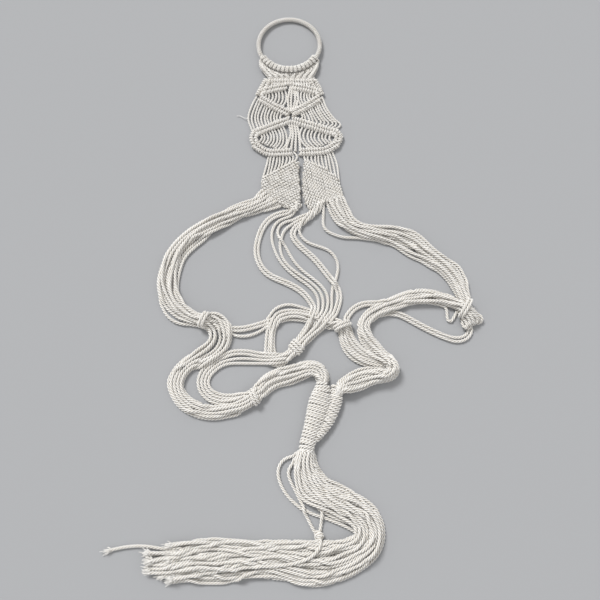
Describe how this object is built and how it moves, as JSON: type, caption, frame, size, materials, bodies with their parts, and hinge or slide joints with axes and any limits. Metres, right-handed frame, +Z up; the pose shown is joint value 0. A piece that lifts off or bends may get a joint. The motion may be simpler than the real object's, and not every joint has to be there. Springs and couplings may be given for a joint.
{
  "type": "hanging macrame planter",
  "caption": "Knotted cotton cord plant hanger on a cord-wrapped ring, with a patterned band, open cords to cradle a pot and a tassel, lying flat.",
  "frame": {"origin": "centre of the laid holder's footprint, on the table", "axes": "+Y from the tassel towards the ring, +X to the right, +Z up off the table"},
  "size_m": [0.377, 0.6218, 0.016],
  "materials": {
    "cord": "matte twisted cotton",
    "hoop": "satin"
  },
  "bodies": {
    "knotwork": {"hinge_row": "cord", "row_1_left": "cord", "row_1_right": "cord", "row_2_left": "cord", "row_2_right": "cord", "row_3_left": "cord", "row_3_right": "cord", "row_4_left": "cord", "row_4_right": "cord", "fan_1_left": "cord", "fan_1_right": "cord", "fan_2_left": "cord", "fan_2_right": "cord", "fan_3_left": "cord", "fan_3_right": "cord", "centre_cords": "cord", "panel_cords": "cord", "panel_left": "cord", "panel_right": "cord", "arm_left": "cord", "knot_left": "cord", "loop_left_outer": "cord", "loop_left_inner": "cord", "tie_left": "cord", "knot_lower_left": "cord", "lead_left": "cord", "centre_sweep": "cord", "middle_cord_1": "cord", "middle_cord_2": "cord", "middle_cord_3": "cord", "middle_cord_4": "cord", "middle_cord_5": "cord", "middle_cord_6": "cord", "middle_bundle": "cord", "knot_middle": "cord", "upright_left": "cord", "knot_centre_right": "cord", "arm_right": "cord", "slack_cord": "cord", "knot_right": "cord", "fold_right": "cord", "return_right": "cord", "return_branch": "cord", "loop_right": "cord", "lower_right_in": "cord", "lower_right_out": "cord", "gather_front": "cord", "gather_side": "cord", "gather_neck": "cord"},
    "ring_loops": {"lark_heads": "cord", "leader_cords": "cord"},
    "ring": {"ring_hoop": "hoop", "ring_wrap": "cord"},
    "tassel": {"tassel_bundles": "cord", "tassel_cord_1": "cord", "tassel_cord_2": "cord", "tassel_cord_3": "cord", "overhand_knot": "cord", "lone_cord": "cord", "frayed_tips": "cord"}
  },
  "joints": [
    {"name": "ring_tilt", "type": "hinge", "parent": "knotwork", "child": "ring_loops", "pos_m": [-0.0155, 0.226, 0.0032], "axis": [1, 0, 0], "range_deg": [0, 90]},
    {"name": "ring_turn", "type": "hinge", "parent": "ring_loops", "child": "ring", "pos_m": [-0.017, 0.273, 0.0045], "axis": [0, 0.0558, 0.9984], "continuous": true},
    {"name": "tassel_sway", "type": "hinge", "parent": "knotwork", "child": "tassel", "pos_m": [0.002, -0.184, 0.006], "axis": [0, 0, 1], "range_deg": [-25, 25]}
  ]
}
